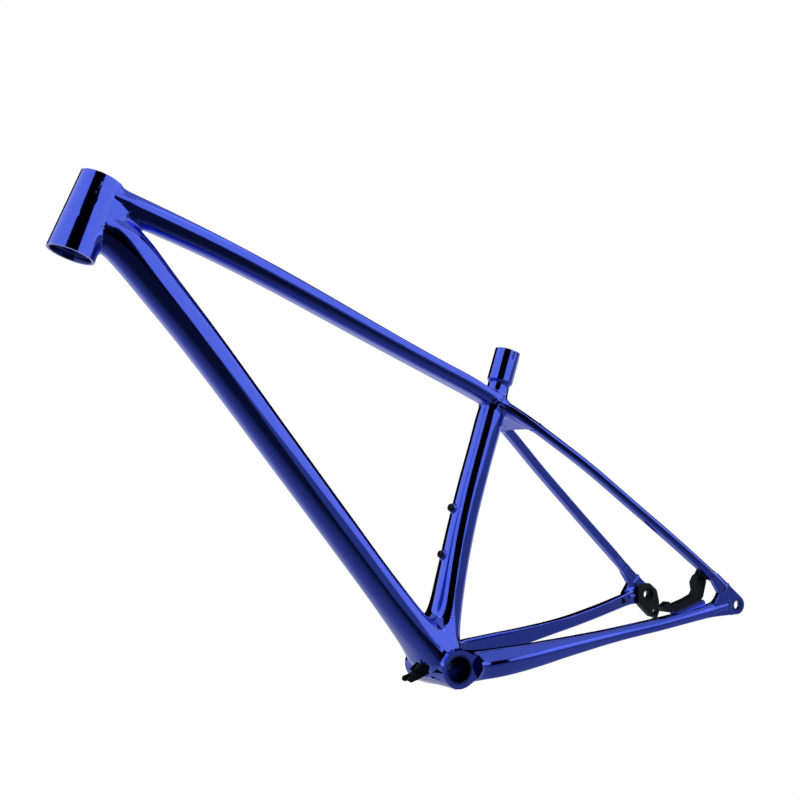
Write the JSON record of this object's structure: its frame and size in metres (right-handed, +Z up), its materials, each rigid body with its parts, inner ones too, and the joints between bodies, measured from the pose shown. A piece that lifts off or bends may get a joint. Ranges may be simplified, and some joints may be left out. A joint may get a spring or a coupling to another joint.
{
  "type": "bicycle frame",
  "caption": "Hardtail bicycle frame for wide tyres with tapered head tube, sloping top tube, curved stays, thru-axle dropouts and a brake adapter.",
  "frame": {"origin": "centre of the bottom bracket shell, on its axis", "axes": "+X towards the rear wheel, +Y towards the rider's right (drive side), +Z up; the steering end is at -X"},
  "size_m": [0.9782, 0.2157, 0.6523],
  "materials": {
    "frame_paint": "candy metallic blue under gloss clear coat",
    "machined_alloy": "turned",
    "dark_anodised_alloy": "bead-blasted dark anodised",
    "black_screw": "black oxide",
    "rubber_grommet": "matt moulded",
    "liner_plastic": "plain tube"
  },
  "bodies": {
    "root": {"head_tube": "frame_paint", "top_tube": "frame_paint", "down_tube": "frame_paint", "seat_tube": "frame_paint", "bottom_bracket_shell": "frame_paint", "left_chainstay": "frame_paint", "right_chainstay": "frame_paint", "left_seatstay": "frame_paint", "right_seatstay": "frame_paint", "seatstay_bridge": "frame_paint", "left_dropout": "frame_paint", "right_dropout": "frame_paint", "brake_mount_boss": "frame_paint", "lower_bearing_seat": "machined_alloy", "upper_bearing_seat": "machined_alloy", "bottom_bracket_sleeve": "machined_alloy", "left_axle_bushing": "machined_alloy", "bottle_cage_inserts": "machined_alloy", "brake_mount_inserts": "machined_alloy", "cable_exit_stop": "frame_paint", "derailleur_hanger": "dark_anodised_alloy", "brake_adapter": "dark_anodised_alloy", "brake_brace_pad": "dark_anodised_alloy", "cable_guide": "dark_anodised_alloy", "bottle_cage_screws": "black_screw", "hanger_screws": "black_screw", "brake_adapter_bolts": "black_screw", "brake_brace_screw": "black_screw", "cable_guide_screw": "black_screw", "cable_entry_port": "rubber_grommet", "cable_exit_grommet": "rubber_grommet", "hose_exit_grommet": "rubber_grommet", "shift_cable_liner": "liner_plastic", "brake_hose_liner": "liner_plastic"}
  },
  "joints": []
}
